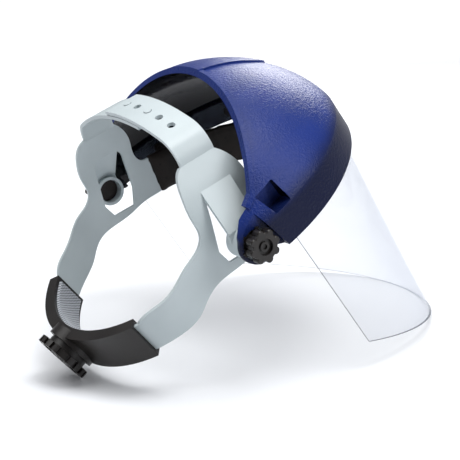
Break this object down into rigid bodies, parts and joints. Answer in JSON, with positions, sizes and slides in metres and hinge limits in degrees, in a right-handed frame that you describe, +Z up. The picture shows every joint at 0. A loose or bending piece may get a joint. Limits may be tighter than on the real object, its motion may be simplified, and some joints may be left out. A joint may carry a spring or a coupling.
{
  "type": "face shield",
  "caption": "Face shield: rounded crown with a clear curved window that tilts up on side knobs, on a padded headband with crown strap and rear ratchet wheel.",
  "frame": {"origin": "centre of the footprint, on the table the shield rests on", "axes": "+X from the ratchet wheel to the brow, +Y to the wearer's left, +Z up from the table"},
  "size_m": [0.2754, 0.218, 0.1813],
  "materials": {
    "headband_plastic": "satin",
    "rack_plastic": "satin",
    "sweatband_foam": "soft vinyl skin, finely perforated",
    "nape_plastic": "satin",
    "nape_foam": "diamond knurled",
    "wheel_plastic": "satin, notched rim",
    "pinion_plastic": "moulded",
    "steel": "bright zinc",
    "bolt_steel": "black, satin",
    "crown_plastic": "fine pebble grain outside, smooth inside",
    "window_sheet": "clear polished sheet",
    "peg_plastic": "satin",
    "washer_rubber": "plain",
    "disc_plastic": "satin",
    "knob_plastic": "satin",
    "insert_brass": "turned"
  },
  "bodies": {
    "headgear": {"headband": "headband_plastic", "sweatband": "sweatband_foam", "nape_housing": "nape_plastic", "nape_cover": "nape_plastic", "nape_pad": "nape_foam", "click_spring": "steel", "pivot_bolt_left": "bolt_steel", "pivot_bolt_right": "bolt_steel", "friction_washer_left": "washer_rubber", "friction_washer_right": "washer_rubber"},
    "visor": {"crown_shell": "crown_plastic", "window": "window_sheet", "window_pegs": "peg_plastic", "tilt_disc_left": "disc_plastic", "tilt_disc_right": "disc_plastic"},
    "knob_left": {"tilt_knob_left": "knob_plastic", "knob_insert_left": "insert_brass"},
    "knob_right": {"tilt_knob_right": "knob_plastic", "knob_insert_right": "insert_brass"},
    "ratchet": {"ratchet_wheel": "wheel_plastic", "ratchet_pinion": "pinion_plastic", "ratchet_screw": "steel"},
    "rack_left": {"rack_left": "rack_plastic"},
    "rack_right": {"rack_right": "rack_plastic"}
  },
  "joints": [
    {"name": "visor_tilt", "type": "hinge", "parent": "headgear", "child": "visor", "pos_m": [-0.04541, 0, 0.09033], "axis": [0, -1, 0], "range_deg": [0, 90]},
    {"name": "knob_turn_left", "type": "hinge", "parent": "headgear", "child": "knob_left", "pos_m": [-0.04541, 0.1, 0.09033], "axis": [0, 1, 0], "range_deg": [0, 360]},
    {"name": "knob_turn_right", "type": "hinge", "parent": "headgear", "child": "knob_right", "pos_m": [-0.04541, -0.1, 0.09033], "axis": [0, -1, 0], "range_deg": [0, 360]},
    {"name": "ratchet_turn", "type": "hinge", "parent": "headgear", "child": "ratchet", "pos_m": [-0.12552, 0, 0.0155], "axis": [-0.8049, 0, -0.5934], "range_deg": [-228, 228]},
    {"name": "rack_left_slide", "type": "hinge", "parent": "headgear", "child": "rack_left", "pos_m": [-0.05332, 0, 0.06873], "axis": [-0.5934, 0, 0.8049], "range_deg": [-14, 14]},
    {"name": "rack_right_slide", "type": "hinge", "parent": "headgear", "child": "rack_right", "pos_m": [-0.05332, 0, 0.06873], "axis": [-0.5934, 0, 0.8049], "range_deg": [-14, 14]}
  ],
  "couplings": [
    {"joint": "rack_left_slide", "follows": "ratchet_turn", "ratio": 0.060865},
    {"joint": "rack_right_slide", "follows": "ratchet_turn", "ratio": -0.060865}
  ]
}
